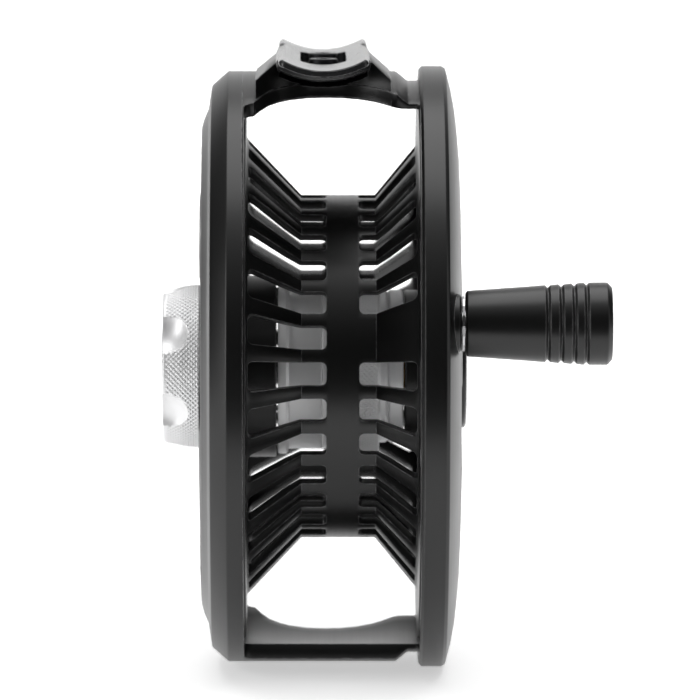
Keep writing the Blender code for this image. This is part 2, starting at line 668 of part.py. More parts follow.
# ---- handle ------------------------------------------------------------------
def handle_profile():
    inner, outer = HANDLE_X
    bore = 3.4
    profile = [(outer, bore), (outer, 5.5), (outer - 0.9, 6.4)]
    for groove in (38.2, 36.3, 34.3, 32.2):
        radius = 5.1 + 1.3 * min(1.0, (groove - inner) / 19.0)
        profile += [(groove + 0.4, radius), (groove, radius - 0.4), (groove - 0.4, radius)]
    profile += [(inner + 0.3, 5.1), (inner, 4.8), (inner, bore)]
    return profile


def make_handle(parts, mat, stud_mat, bush_mat):
    shade(lathe("handle_knob", handle_profile(), MEDIUM, parts, mat, HANDLE_AT), 25.0)
    shade(lathe("handle_stud", [
        (40.9, 0.0), (40.9, 1.5), (41.7, 1.5), (41.7, 3.1), (40.5, 3.1), (40.5, 2.1),
        (19.1, 2.1), (19.1, 1.35), (14.0, 1.35), (14.0, 0.0)], COARSE, parts, stud_mat, HANDLE_AT))
    shade(ring("handle_washer", (19.05, 19.35), (2.4, 4.3), COARSE, parts, stud_mat, HANDLE_AT))
    shade(ring("handle_bush_inner", (19.7, 24.2), (2.4, 3.15), COARSE, parts, bush_mat, HANDLE_AT))
    shade(ring("handle_bush_outer", (35.7, 40.2), (2.4, 3.15), COARSE, parts, bush_mat, HANDLE_AT))


def make_counterweight(parts, mat):
    shade(lathe("counterweight", [(18.1, 0.0), (18.1, 3.2), (17.8, 3.5), (17.1, 3.5),
                                  (17.1, 0.0)], MEDIUM, parts, mat, WEIGHT_AT))


def centre_on_origin(collections):
    """Move everything so that the origin is the middle of the reel's box."""
    for collection in collections:
        for obj in collection.objects:
            obj.location = obj.location - Vector(BOX_MIDDLE) * MM


def main():
    reset_scene()
    parts = new_collection("fly_reel")
    cutters = new_collection("cutters")
    black = make_material("anodised_black", (0.012, 0.012, 0.014), 0.42, 0.6)
    silver = make_material("anodised_silver", (0.72, 0.72, 0.73), 0.30, 1.0)
    steel = make_material("stainless_steel", (0.55, 0.55, 0.56), 0.28, 1.0)
    dark = make_material("black_steel", (0.03, 0.03, 0.032), 0.4, 1.0)
    bronze = make_material("bearing_bronze", (0.42, 0.27, 0.12), 0.35, 1.0)
    carbon = make_material("carbon_friction", (0.02, 0.02, 0.02), 0.75, 0.0)
    rubber = make_material("seal_rubber", (0.015, 0.015, 0.015), 0.8, 0.0)
    acetal = make_material("acetal", (0.80, 0.79, 0.74), 0.5, 0.0)

    make_frame(parts, cutters, black)
    make_foot(parts, cutters, black)
    make_foot_screws(parts, dark)
    make_knob(parts, cutters, silver, steel)
    make_thrust_group(parts, steel)
    make_spindle(parts, steel)
    make_housing(parts, cutters, silver)
    make_housing_screws(parts, steel)
    make_brake(parts, steel, silver, carbon, rubber)
    make_detent(parts, steel)
    make_click(parts, cutters, steel)
    make_spool(parts, cutters, black)
    make_spool_hub(parts, cutters, silver, steel)
    make_bearings(parts, steel, bronze)
    make_hub_cap(parts, black)
    make_handle(parts, black, steel, acetal)
    make_counterweight(parts, steel)
    centre_on_origin((parts, cutters))


main()
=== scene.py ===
"""Looks of the fly reel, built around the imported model.

Lengths in this script are millimetres from the middle of the arbor, on the
spool's axis, until a mesh is made.  X is the spool's axis (+X towards the
handle), +Z is up.  An angle round the axis is measured from -Y towards +Z.
"""
import json
import math

import bmesh
import bpy
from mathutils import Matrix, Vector


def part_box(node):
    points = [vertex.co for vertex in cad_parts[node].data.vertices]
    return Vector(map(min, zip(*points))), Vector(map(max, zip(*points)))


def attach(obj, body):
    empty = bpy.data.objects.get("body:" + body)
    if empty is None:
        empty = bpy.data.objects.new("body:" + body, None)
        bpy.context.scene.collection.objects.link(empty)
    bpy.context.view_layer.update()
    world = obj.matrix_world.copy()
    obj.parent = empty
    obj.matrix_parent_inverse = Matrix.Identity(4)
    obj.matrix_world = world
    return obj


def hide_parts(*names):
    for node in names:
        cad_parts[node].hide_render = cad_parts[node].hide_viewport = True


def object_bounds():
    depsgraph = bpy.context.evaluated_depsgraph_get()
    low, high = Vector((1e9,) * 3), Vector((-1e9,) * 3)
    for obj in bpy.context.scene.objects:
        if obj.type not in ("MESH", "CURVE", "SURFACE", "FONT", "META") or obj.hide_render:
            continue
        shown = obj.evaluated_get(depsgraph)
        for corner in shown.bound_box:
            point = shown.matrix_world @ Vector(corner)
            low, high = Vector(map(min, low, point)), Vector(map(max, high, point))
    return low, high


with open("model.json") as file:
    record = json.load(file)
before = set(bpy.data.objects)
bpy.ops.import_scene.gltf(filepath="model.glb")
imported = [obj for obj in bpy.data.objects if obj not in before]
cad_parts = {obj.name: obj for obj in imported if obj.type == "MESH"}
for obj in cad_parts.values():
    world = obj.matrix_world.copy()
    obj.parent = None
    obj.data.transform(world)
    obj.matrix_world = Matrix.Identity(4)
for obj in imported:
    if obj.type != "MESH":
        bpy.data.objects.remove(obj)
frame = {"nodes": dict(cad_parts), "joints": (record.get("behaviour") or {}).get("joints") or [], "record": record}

cad_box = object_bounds()
MM = 0.001
TAU = 2.0 * math.pi
COLUMNS = 240               # facets round every large turned shape
WELD = 0.0000005            # metres; closer points of a new mesh are one point
CUT_WELD = 0.000003         # the same after a Boolean
CUT_SLIVER = 0.000001       # metres; shorter edges of a Boolean's result go


def joint(name):
    return next(j for j in frame["joints"] if j["name"] == name)


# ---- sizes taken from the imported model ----
AXLE = Vector(joint("spool_spin")["pos_m"])     # the middle of the arbor


def span(node, axis):
    """Lowest and highest coordinate of a node along an axis, in millimetres."""
    low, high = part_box(node)
    return (low[axis] - AXLE[axis]) / MM, (high[axis] - AXLE[axis]) / MM


def middle(node):
    """Centre (y, z) of a node, in millimetres."""
    return tuple(sum(span(node, axis)) / 2.0 for axis in (1, 2))


HANDLE_YZ = tuple(c / MM for c in (Vector(joint("handle_spin")["pos_m"]) - AXLE)[1:])
HANDLE_ANGLE = math.atan2(HANDLE_YZ[1], -HANDLE_YZ[0])
FOOT_X = sum(span("reel_foot", 0)) / 2.0


# ---- mesh making ----
def make_piece(name, verts, faces, smooth=35.0):
    """A mesh object from points in millimetres, with its faces pointing out."""
    mesh = bpy.data.meshes.new(name)
    mesh.from_pydata([tuple(c * MM for c in v) for v in verts], [], faces)
    bm = bmesh.new()
    bm.from_mesh(mesh)
    bmesh.ops.remove_doubles(bm, verts=bm.verts, dist=WELD)
    bmesh.ops.dissolve_degenerate(bm, edges=bm.edges, dist=WELD)
    bmesh.ops.delete(bm, geom=[v for v in bm.verts if not v.link_faces], context="VERTS")
    if bm.calc_volume(signed=True) < 0.0:
        bmesh.ops.reverse_faces(bm, faces=bm.faces)
    bm.to_mesh(mesh)
    bm.free()
    mesh.shade_smooth()
    mesh.set_sharp_from_angle(angle=math.radians(smooth))
    obj = bpy.data.objects.new(name, mesh)
    obj.location = AXLE
    bpy.context.scene.collection.objects.link(obj)
    return obj


def cut(piece, operand, operation):
    """Apply an exact Boolean to a piece's mesh and delete the operand."""
    modifier = piece.modifiers.new("cut", "BOOLEAN")
    modifier.operation = operation
    modifier.solver = "EXACT"
    modifier.object = operand
    bpy.context.view_layer.update()
    depsgraph = bpy.context.evaluated_depsgraph_get()
    mesh = bpy.data.meshes.new_from_object(piece.evaluated_get(depsgraph))
    piece.modifiers.clear()
    bm = bmesh.new()
    bm.from_mesh(mesh)
    bmesh.ops.remove_doubles(bm, verts=bm.verts, dist=CUT_WELD)
    bmesh.ops.dissolve_degenerate(bm, edges=bm.edges, dist=CUT_SLIVER)
    bm.to_mesh(mesh)
    bm.free()
    old, piece.data = piece.data, mesh
    bpy.data.meshes.remove(old)
    bpy.data.objects.remove(operand, do_unlink=True)
    return piece


ON_AXLE = (0.0, 0.0)        # (y, z) of what is turned about the spool's axis


def around(x, radius, angle):
    return x, -radius * math.cos(angle), radius * math.sin(angle)


def rounded(corners, closed=True, steps=3):
    """Replace each (x, radius, fillet) corner of a profile by an arc."""
    points = []
    count = len(corners)
    for index, (x, r, fillet) in enumerate(corners):
        here = Vector((x, r))
        ends = not closed and index in (0, count - 1)
        if fillet <= 0.0 or ends:
            points.append((x, r))
            continue
        before = Vector(corners[index - 1][:2]) - here
        after = Vector(corners[(index + 1) % count][:2]) - here
        half = before.angle(after) / 2.0
        reach = min(fillet / math.tan(half), 0.49 * before.length, 0.49 * after.length)
        size = reach * math.tan(half)
        start, end = here + before.normalized() * reach, here + after.normalized() * reach
        centre = here + (before.normalized() + after.normalized()).normalized() * (
            size / math.sin(half))
        for step in range(steps + 1):
            share = step / steps
            ray = (start - centre).lerp(end - centre, share).normalized() * size
            points.append(tuple(centre + ray))
    return points


def carved(name, rows, columns, at=ON_AXLE, smooth=35.0):
    """A closed shape round a line parallel to X.

    rows are (x, radius) pairs that run out along the +X end and back down the
    side; a radius may be a function of the angle.  A shape whose first and
    last radius are 0 is solid, any other is a ring.
    """
    verts, faces = [], []
    for x, r in rows:
        for column in range(columns):
            angle = TAU * column / columns
            px, py, pz = around(x, r(angle) if callable(r) else r, angle)
            verts.append((px, py + at[0], pz + at[1]))
    count = len(rows)
    solid = rows[0][1] == 0.0 and rows[-1][1] == 0.0
    for row in range(count - 1 if solid else count):
        follow = (row + 1) % count
        for column in range(columns):
            side = (column + 1) % columns
            faces.append((row * columns + column, row * columns + side,
                          follow * columns + side, follow * columns + column))
    return make_piece(name, verts, faces, smooth)


def turned(name, corners, columns=96, at=ON_AXLE, smooth=35.0, steps=3):
    """A turned shape whose (x, radius, fillet) corners are rounded."""
    solid = corners[0][1] == 0.0 and corners[-1][1] == 0.0
    return carved(name, rounded(corners, closed=not solid, steps=steps), columns, at, smooth)


def loft(name, sections):
    """A closed shape through outlines of the same number of points."""
    size = len(sections[0])
    verts = [point for section in sections for point in section]
    faces = [tuple(range(size))[::-1], tuple(range(len(verts) - size, len(verts)))]
    for start in range(0, len(verts) - size, size):
        for corner in range(size):
            a, b = start + corner, start + (corner + 1) % size
            faces.append((a, b, b + size, a + size))
    return make_piece(name, verts, faces)


def lookup(points):
    """A function that reads a line through (key, value) points."""
    ordered = sorted(points)

    def value(key):
        if key <= ordered[0][0]:
            return ordered[0][1]
        for (k0, v0), (k1, v1) in zip(ordered, ordered[1:]):
            if key <= k1:
                return v0 + (v1 - v0) * (key - k0) / (k1 - k0) if k1 > k0 else v1
        return ordered[-1][1]
    return value


class Windows:
    """Rounded openings through a wall, evenly spaced round the axis.

    The wall lies between outer(s) and inner(s), each giving (x, radius).  An
    opening runs from s0 to s1 and reaches low(s) and high(s) radians to the
    two sides of its sector's middle, turned by twist(s).  Its corners and its
    edges are round.  spread is the number of extra loops of faces between an
    opening and its sector's border.
    """

    def __init__(self, count, phase, outer, inner, s0, s1, high, corner, edge, margin,
                 between=(), twist=None, closed=(), arc=2, low=None, spread=0):
        self.count, self.phase = count, phase
        self.outer, self.inner = outer, inner
        self.ends = (s0, s1)
        self.high, self.low = high, low or high
        self.corners = corner if isinstance(corner, tuple) else (corner, corner)
        self.edge, self.arc, self.spread = edge, arc, spread
        self.twist = twist or (lambda s: 0.0)
        self.closed = set(closed)
        self.sign = 1.0 if s1 > s0 else -1.0
        angles = [math.radians(45.0 + 45.0 * i / arc) for i in range(1, arc + 1)]
        first = [s0 + self.sign * self.corners[0] * (1.0 - math.cos(a)) for a in angles]
        last = [s1 - self.sign * self.corners[1] * (1.0 - math.cos(a)) for a in angles[::-1]]
        self.rows = ([s0 - self.sign * margin] + first + list(between) + last
                     + [s1 + self.sign * margin])
        self.per_sector = COLUMNS // count

    def reach(self, s, side):
        return self.high(s) if side > 0.0 else self.low(s)

    def bend(self, end, side, alpha, grow):
        """Point of a corner arc, alpha from the end (0) to the side (90)."""
        corner = self.corners[end]
        inward = self.sign if end == 0 else -self.sign
        centre = self.ends[end] + inward * corner
        radius = self.outer(centre)[1]
        s = centre - inward * (corner + grow) * math.cos(alpha)
        middle = self.reach(centre, side) - corner / radius
        return s, side * (middle + (corner + grow) * math.sin(alpha) / radius)

    def end_point(self, end, column, grow):
        """Point opposite a column, on the edge across one end."""
        count, arc = self.per_sector, self.arc
        step = min(column, count - column)
        side = -1.0 if column < count / 2.0 else 1.0
        if step <= arc:
            return self.bend(end, side, math.radians(45.0 * (1.0 - step / arc)), grow)
        s, left = self.bend(end, -1.0, 0.0, grow)
        right = self.bend(end, 1.0, 0.0, grow)[1]
        return s, left + (right - left) * (column - arc) / (count - 2.0 * arc)

    def side_point(self, row, side, grow):
        last = len(self.rows) - 1
        step = min(row, last - row)
        if step <= self.arc:
            end = 0 if row < last / 2 else 1
            return self.bend(end, side, math.radians(45.0 + 45.0 * step / self.arc), grow)
        s = self.rows[row]
        return s, side * (self.reach(s, side) + grow / self.outer(s)[1])

    def border(self):
        """Row and column of the sector's outline, in order."""
        last, count = len(self.rows) - 1, self.per_sector
        walk = [(0, column) for column in range(count + 1)]
        walk += [(row, count) for row in range(1, last)]
        walk += [(last, column) for column in range(count, -1, -1)]
        walk += [(row, 0) for row in range(last - 1, 0, -1)]
        return walk

    def border_points(self):
        step = TAU / COLUMNS
        return [(self.rows[row], (column - self.per_sector / 2.0) * step)
                for row, column in self.border()]

    def loop(self, grow):
        """The opening's outline as (s, angle), grown by a length."""
        last, count = len(self.rows) - 1, self.per_sector
        outline = [self.end_point(0, column, grow) for column in range(count + 1)]
        outline += [self.side_point(row, 1.0, grow) for row in range(1, last)]
        outline += [self.end_point(1, column, grow) for column in range(count, -1, -1)]
        outline += [self.side_point(row, -1.0, grow) for row in range(last - 1, 0, -1)]
        return outline

    def loops(self):
        """Outlines from the border to the middle of the wall, with depths."""
        edge = self.edge
        border, rim = self.border_points(), self.loop(edge)
        made = []
        for index in range(1, self.spread + 1):
            share = index / (self.spread + 1.0)
            made.append(([(s0 + (s1 - s0) * share, a0 + (a1 - a0) * share)
                          for (s0, a0), (s1, a1) in zip(border, rim)], 0.0))
        return made + [(rim, 0.0), (self.loop(edge * 0.3), edge * 0.3), (self.loop(0.0), edge)]


def windowed(name, path, smooth=35.0):
    """A closed turned shape with openings.

    path lists, in order round the section, (x, radius) points and pairs
    (windows, side): the rows of a windowed wall's outer (0) or inner (1)
    surface.  Each Windows appears once with each side.
    """
    verts, faces, rings, zones = [], [], [], []

    def add_row(x, r, turn=0.0):
        rings.append((len(verts), round(turn * COLUMNS / TAU)))
        for column in range(COLUMNS):
            verts.append(around(x, r, TAU * column / COLUMNS + turn))

    def own(ring, column):
        """Vertex by the ring's own column, which turns with the openings."""
        return rings[ring][0] + column % COLUMNS

    def lined_up(ring, column):
        """Vertex by its place round the axis, to join rings turned apart."""
        start, shift = rings[ring]
        return start + (column - shift) % COLUMNS

    for item in path:
        if isinstance(item[0], Windows):
            windows, side = item
            rows = windows.rows if side == 0 else windows.rows[::-1]
            surface = windows.inner if side else windows.outer
            start = len(rings)
            for s in rows:
                add_row(*surface(s), windows.phase + windows.twist(s))
            zones.append((windows, side, start, len(rings) - 1))
        else:
            add_row(*item)

    zone_at = {ring: windows for windows, _, start, end in zones
               for ring in range(start, end)}
    for ring in range(len(rings)):
        follow = (ring + 1) % len(rings)
        windows = zone_at.get(ring)
        vertex = own if windows else lined_up
        for column in range(COLUMNS):
            if windows and column // windows.per_sector not in windows.closed:
                continue
            faces.append((vertex(ring, column), vertex(ring, column + 1),
                          vertex(follow, column + 1), vertex(follow, column)))

    walls = {}
    for windows, side, start, end in zones:
        for sector in range(windows.count):
            if sector in windows.closed:
                continue
            middle = TAU * (sector + 0.5) / windows.count + windows.phase
            previous = [own(start + row if side == 0 else end - row,
                            sector * windows.per_sector + column)
                        for row, column in windows.border()]
            for outline, depth in windows.loops():
                line = []
                for s, angle in outline:
                    top, under = windows.outer(s), windows.inner(s)
                    if side:
                        top, under = under, top
                    share = depth / math.dist(top, under)
                    x, r = (a + (b - a) * share for a, b in zip(top, under))
                    line.append(len(verts))
                    verts.append(around(x, r, middle + angle + windows.twist(s)))
                stitch(faces, previous, line, side)
                previous = line
            walls.setdefault((id(windows), sector), []).append(previous)
    for first, second in walls.values():
        stitch(faces, first, second, 0)
    return make_piece(name, verts, faces, smooth)


def stitch(faces, outer, inner, flip):
    """Quads between two closed loops of the same length."""
    count = len(outer)
    for index in range(count):
        after = (index + 1) % count
        quad = (outer[index], outer[after], inner[after], inner[index])
        faces.append(quad[::-1] if flip else quad)


# ---- materials ----
FINE_RELIEF = 0.00002           # depth of blasting and turning marks, in metres


def new_material(name):
    mat = bpy.data.materials.new(name)
    mat.use_nodes = True
    return mat, mat.node_tree, mat.node_tree.nodes["Principled BSDF"]


def node(tree, kind, **values):
    made = tree.nodes.new(kind)
    for key, value in values.items():
        if key in made.inputs:
            made.inputs[key].default_value = value
        else:
            setattr(made, key, value)
    return made


def noise(tree, vector, scale, detail):
    made = node(tree, "ShaderNodeTexNoise", Scale=scale, Detail=detail, Roughness=0.55)
    tree.links.new(vector, made.inputs["Vector"])
    return made.outputs["Fac"]


def remap(tree, value, low, high, out_low, out_high):
    made = tree.nodes.new("ShaderNodeMapRange")
    made.inputs["From Min"].default_value = low
    made.inputs["From Max"].default_value = high
    made.inputs["To Min"].default_value = out_low
    made.inputs["To Max"].default_value = out_high
    tree.links.new(value, made.inputs["Value"])
    return made.outputs["Result"]


def maths(tree, operation, first, second=None):
    made = tree.nodes.new("ShaderNodeMath")
    made.operation = operation
    for index, value in enumerate((first, second)):
        if value is None:
            continue
        if isinstance(value, (int, float)):
            made.inputs[index].default_value = value
        else:
            tree.links.new(value, made.inputs[index])
    return made.outputs[0]


def mix_colour(tree, factor, first, second):
    made = tree.nodes.new("ShaderNodeMix")
    made.data_type = "RGBA"
    if isinstance(factor, (int, float)):
        made.inputs["Factor"].default_value = factor
    else:
        tree.links.new(factor, made.inputs["Factor"])
    for socket, value in (("A", first), ("B", second)):
        target = [i for i in made.inputs if i.name == socket and i.type == "RGBA"][0]
        if isinstance(value, tuple):
            target.default_value = (*value, 1.0)
        else:
            tree.links.new(value, target)
    return [o for o in made.outputs if o.type == "RGBA"][0]


def roughen(tree, shader, height, strength, depth):
    """Bump a shader's surface by a height that runs over a depth in metres."""
    bump = node(tree, "ShaderNodeBump", Strength=strength, Distance=depth)
    tree.links.new(height, bump.inputs["Height"])
    tree.links.new(bump.outputs["Normal"], shader.inputs["Normal"])


def weigh(tree, first, weight, second, other):
    """first * weight + second * other."""
    return maths(tree, "ADD", maths(tree, "MULTIPLY", first, weight),
                 maths(tree, "MULTIPLY", second, other))


def turning_marks(tree, centre, pitch=0.00035):
    """Fine rings round a turned part: noise over (x, radius) only."""
    place = node(tree, "ShaderNodeTexCoord").outputs["Object"]
    split = node(tree, "ShaderNodeSeparateXYZ")
    tree.links.new(place, split.inputs[0])
    y = maths(tree, "SUBTRACT", split.outputs["Y"], centre[0] * MM)
    z = maths(tree, "SUBTRACT", split.outputs["Z"], centre[1] * MM)
    squares = maths(tree, "ADD", maths(tree, "MULTIPLY", y, y), maths(tree, "MULTIPLY", z, z))
    joined = node(tree, "ShaderNodeCombineXYZ")
    tree.links.new(split.outputs["X"], joined.inputs["X"])
    tree.links.new(maths(tree, "SQRT", squares), joined.inputs["Y"])
    return noise(tree, joined.outputs[0], 1.0 / pitch, 2.0)


def edge_highlight_and_wear(tree, width, low, high):
    """Factor that rises from 0 to 1 along convex edges."""
    geometry = tree.nodes.new("ShaderNodeNewGeometry")
    bevel = node(tree, "ShaderNodeBevel", samples=4)
    bevel.inputs["Radius"].default_value = width
    cross = node(tree, "ShaderNodeVectorMath", operation="DOT_PRODUCT")
    tree.links.new(geometry.outputs["Normal"], cross.inputs[0])
    tree.links.new(bevel.outputs["Normal"], cross.inputs[1])
    return remap(tree, cross.outputs["Value"], high, low, 0.0, 1.0)


def metal(name, colour, roughness, marks, grain, centre, metallic=1.0, colour_shift=0.12):
    """A machined metal: blasted grain, turning marks and slow colour drift."""
    mat, tree, shader = new_material(name)
    place = node(tree, "ShaderNodeTexCoord").outputs["Object"]
    cloud = noise(tree, place, 90.0, 2.0)
    fine = noise(tree, place, 5200.0, 2.0)
    rings = turning_marks(tree, centre)
    darker = tuple(c * (1.0 - colour_shift) for c in colour)
    lighter = tuple(min(1.0, c * (1.0 + colour_shift)) for c in colour)
    tree.links.new(mix_colour(tree, cloud, darker, lighter), shader.inputs["Base Color"])
    shine = weigh(tree, cloud, 0.10, rings, 0.08)
    tree.links.new(maths(tree, "ADD", shine, roughness - 0.09), shader.inputs["Roughness"])
    shader.inputs["Metallic"].default_value = metallic
    roughen(tree, shader, weigh(tree, fine, grain, rings, marks), 0.22, FINE_RELIEF)
    return mat


def set_material(obj, mat):
    obj.data.materials.clear()
    obj.data.materials.append(mat)


# ---- spool ----
ARBOR = 27.4
ARBOR_END = 5.86            # half length of the arbor's cylinder
WALL = 1.25                 # thickness of the arbor and its cones
BAND = (-1.95, 3.2)         # unslotted band
SLOTS = 30
SLOT_HALF = math.radians(3.8)
SPOOL_PORTS = (14.8, 35.0)  # radii between which the web's ports run
PALM = 48.0                 # radius of the palming rim
BACK_FLANGE = (-14.6, 43.4)     # x of its face and its radius
WEB_BACK = 16.9
HUB_BORE = 6.7


def spool_surface():
    outer = lookup([(BACK_FLANGE[0], 36.6), (-ARBOR_END, ARBOR), (ARBOR_END, ARBOR), (12.6, 35.6)])
    inner = lookup([(-16.1, 36.2), (-6.4, ARBOR - WALL), (6.4, ARBOR - WALL), (13.9, 35.4)])
    return (lambda x: (x, outer(x))), (lambda x: (x, inner(x)))


def web_front(r):
    """Height of the domed front face at a radius."""
    bow = lookup([(10.3, 19.5), (20.8, 19.46), (28.0, 19.34), (34.7, 19.1), (38.5, 18.78),
                  (41.6, 18.4), (44.5, 17.85), (46.8, 17.3)])
    return bow(r), r


def web_back(r):
    return lookup([(12.2, WEB_BACK), (20.8, WEB_BACK), (35.8, 16.5), (42.3, 16.2)])(r), r


PORTS = 6                   # in the web and in the back plate
SPOOL_PORT_PHASE = math.radians(9.6)
SPOOL_SWIRL = math.radians(14.4)


def spool_swirl(r):
    start, end = SPOOL_PORTS
    share = max(0.0, min(1.0, (r - start) / (end - start)))
    return SPOOL_SWIRL * share ** 1.3


def make_spool_shell():
    outer, inner = spool_surface()
    slot_phase = HANDLE_ANGLE - math.pi / SLOTS
    left = Windows(SLOTS, slot_phase, outer, inner, BAND[0], -14.25, lambda s: SLOT_HALF, 0.8,
                   0.12, 0.22, between=(-5.6, -5.86, -6.1, -8.5, -11.0))
    right = Windows(SLOTS, slot_phase, outer, inner, 12.2, BAND[1], lambda s: SLOT_HALF, 0.8,
                    0.12, 0.22, between=(10.0, 8.0, 6.1, 5.86, 5.6), closed=(0,))
    start, end = SPOOL_PORTS
    port_half = lookup([(start, math.radians(12.4)), (end, math.radians(20.0))])
    ports = Windows(PORTS, SPOOL_PORT_PHASE, web_front, web_back, start, end, port_half, 1.8,
                    0.3, 0.6, between=(18.0, 20.0, 22.0, 24.0, 26.0, 28.0, 30.0, 32.0),
                    twist=spool_swirl, arc=6, spread=2)
    hub_face = rounded([(19.2, HUB_BORE, 0.0), (19.2, 10.1, 0.0), (19.5, 10.3, 0.15),
                        (19.5, 13.0, 0.0)], closed=False)
    rim = rounded([web_front(37.2) + (0.0,), web_front(39.5) + (0.0,), web_front(41.6) + (0.0,),
                   web_front(44.5) + (0.0,), (17.05, 47.6, 0.5), (16.5, PALM, 0.35),
                   (13.25, PALM, 0.2), (12.8, 47.5, 0.2), (12.8, 46.15, 0.2), (16.3, 46.15, 0.3),
                   (16.3, 43.5, 0.4), (12.6, 43.5, 0.15), (12.6, 40.0, 0.0),
                   (12.6, 35.85, 0.0)], closed=False)
    band = [(x, ARBOR) for x in (2.6, 0.6, -1.4)]
    face, edge = BACK_FLANGE
    left_edge = rounded([(face, 36.9, 0.0), (face, edge, 0.2), (-16.1, edge, 0.2),
                         (-16.1, 36.9, 0.0)], closed=False)
    inner_band = [(x, ARBOR - WALL) for x in (-1.4, 0.6, 2.6)]
    back = rounded([(13.9, 35.9, 0.0), (13.9, 42.3, 0.3), (16.2, 42.3, 0.3),
                    (16.35, 37.5, 0.0)], closed=False)
    bore = rounded([(WEB_BACK, 13.4, 0.0), (WEB_BACK, 12.2, 0.2), (10.6, 12.2, 0.2),
                    (10.6, HUB_BORE, 0.15), (19.2, HUB_BORE, 0.15)], closed=False)
    path = (hub_face + [(ports, 0)] + rim + [(right, 0)] + band + [(left, 0)] + left_edge
            + [(left, 1)] + inner_band + [(right, 1)] + back + [(ports, 1)] + bore)
    return windowed("spool_shell", path, 40.0)


# ---- frame ----
RING = 47.2                 # radius of the back ring and the pillars
PLATE_INSIDE = -17.3
CAGE_BORE = 44.7
FRAME_PORTS = (17.2, 38.2)  # radii between which the back plate's ports run
SPINDLE_BORE = 2.8
FRAME_PORT_PHASE = math.radians(10.0)
FRAME_SWIRL = math.radians(-31.8)


def plate_inside(r):
    return PLATE_INSIDE, r


def plate_outside(r):
    crest = lookup([(13.2, -21.4), (15.0, -21.5), (18.0, -21.8), (22.0, -21.9), (34.0, -21.9),
                    (38.2, -21.75), (39.6, -21.35), (41.2, -20.65), (42.4, -20.45)])
    return crest(r), r


def frame_swirl(r):
    start, end = FRAME_PORTS
    share = max(0.0, min(1.0, (r - start) / (end - start)))
    return FRAME_SWIRL * share ** 1.2


def pillar_reach(x):
    """Depth in Y of a pillar's arched edge, from the middle plane."""
    return lookup([(-14.9, 20.0), (-13.4, 18.2), (-12.4, 16.4), (-11.0, 14.3), (-9.4, 12.8),
                   (-7.7, 11.7), (-5.0, 10.7), (-2.2, 10.4), (0.6, 10.6), (3.2, 11.3),
                   (5.6, 12.5), (7.5, 13.9), (8.8, 15.0), (9.6, 15.4), (10.4, 15.5)])(x)


CHANNEL_Z, CHANNEL = 61.9, 12.8     # axis and radius of the foot's hollow top
PILLAR_STRAIGHT = 12.0      # depth in Y of a pillar's straight edge
PILLAR_RADIUS = 46.0        # where those depths are measured


def make_cage_windows():
    """The two openings between the pillars, through the shell of the cage."""
    outer = lookup([(-15.4, RING), (9.0, RING), (9.3, RING - 0.12), (10.8, 45.85),
                    (11.1, 45.7), (13.4, 45.7)])

    def arched(x):
        return math.pi / 2.0 - math.asin(pillar_reach(x) / PILLAR_RADIUS)

    def straight(_):
        return math.pi / 2.0 - math.asin(PILLAR_STRAIGHT / PILLAR_RADIUS)

    return Windows(2, -math.pi / 2.0, lambda x: (x, CAGE_BORE), lambda x: (x, outer(x)),
                   -14.9, 12.9, arched, (1.5, 0.8), 0.25, 0.3,
                   between=(-12.4, -11.0, -9.4, -7.7, -6.3, -5.0, -3.6, -2.2, -0.8, 0.6, 1.9,
                            3.2, 4.4, 5.6, 6.6, 7.5, 8.2, 9.0, 9.3, 10.0, 10.8, 11.1, 11.6),
                   low=straight, arc=5, spread=6)


def make_frame_shell():
    start, end = FRAME_PORTS
    half = lookup([(start, math.radians(12.7)), (end, math.radians(20.5))])
    ports = Windows(PORTS, FRAME_PORT_PHASE, plate_inside, plate_outside, start, end, half, 2.2,
                    0.45, 0.7, between=(20.5, 22.0, 24.0, 26.0, 28.0, 30.0, 32.0, 34.0, 35.2),
                    twist=frame_swirl, arc=6, spread=2)
    cage = make_cage_windows()
    inside = PLATE_INSIDE
    boss = rounded([(inside, SPINDLE_BORE, 0.1), (inside, 9.8, 0.2), (-9.85, 9.8, 0.2),
                    (-9.85, 14.5, 0.35), (inside, 14.5, 0.8), (inside, 16.0, 0.0)],
                   closed=False)
    bore = rounded([(inside, 39.6, 0.0), (inside, 44.0, 0.4), (-15.9, 44.0, 0.1),
                    (-15.35, CAGE_BORE, 0.0)], closed=False)
    nest = rounded([(13.4, 44.7, 0.0), (13.7, 43.9, 0.2), (15.9, 43.9, 0.2), (15.9, 45.7, 0.2),
                    (13.4, 45.7, 0.0)], closed=False)
    ring = rounded([(-15.3, RING, 0.0), (-17.5, RING, 0.5), (-20.1, 44.9, 0.6),
                    (-20.45, 42.6, 0.0), (-20.65, 41.2, 0.0), (-21.35, 39.6, 0.0)], closed=False)
    hub = rounded([(-21.8, 16.2, 0.0), (-21.45, 14.2, 0.3), (-21.4, 10.0, 0.2),
                   (-19.6, 10.0, 0.2), (-19.6, SPINDLE_BORE, 0.1)], closed=False)
    path = (boss + [(ports, 0)] + bore + [(cage, 0)] + nest + [(cage, 1)] + ring + [(ports, 1)]
            + hub)
    return windowed("frame_shell", path, 32.0)


def pad_top(x):
    """Height of the pad that carries the foot, above the top pillar."""
    return lookup([(-13.1, 46.9), (-12.8, 47.15), (-9.6, 49.75), (-9.2, 49.9), (4.6, 49.9),
                   (5.0, 49.75), (8.1, 46.95), (8.3, 46.7)])(x)


def pad_root(y):
    """Height, inside the pillar, from which the pad starts."""
    return 45.2 - 0.012 * y * y


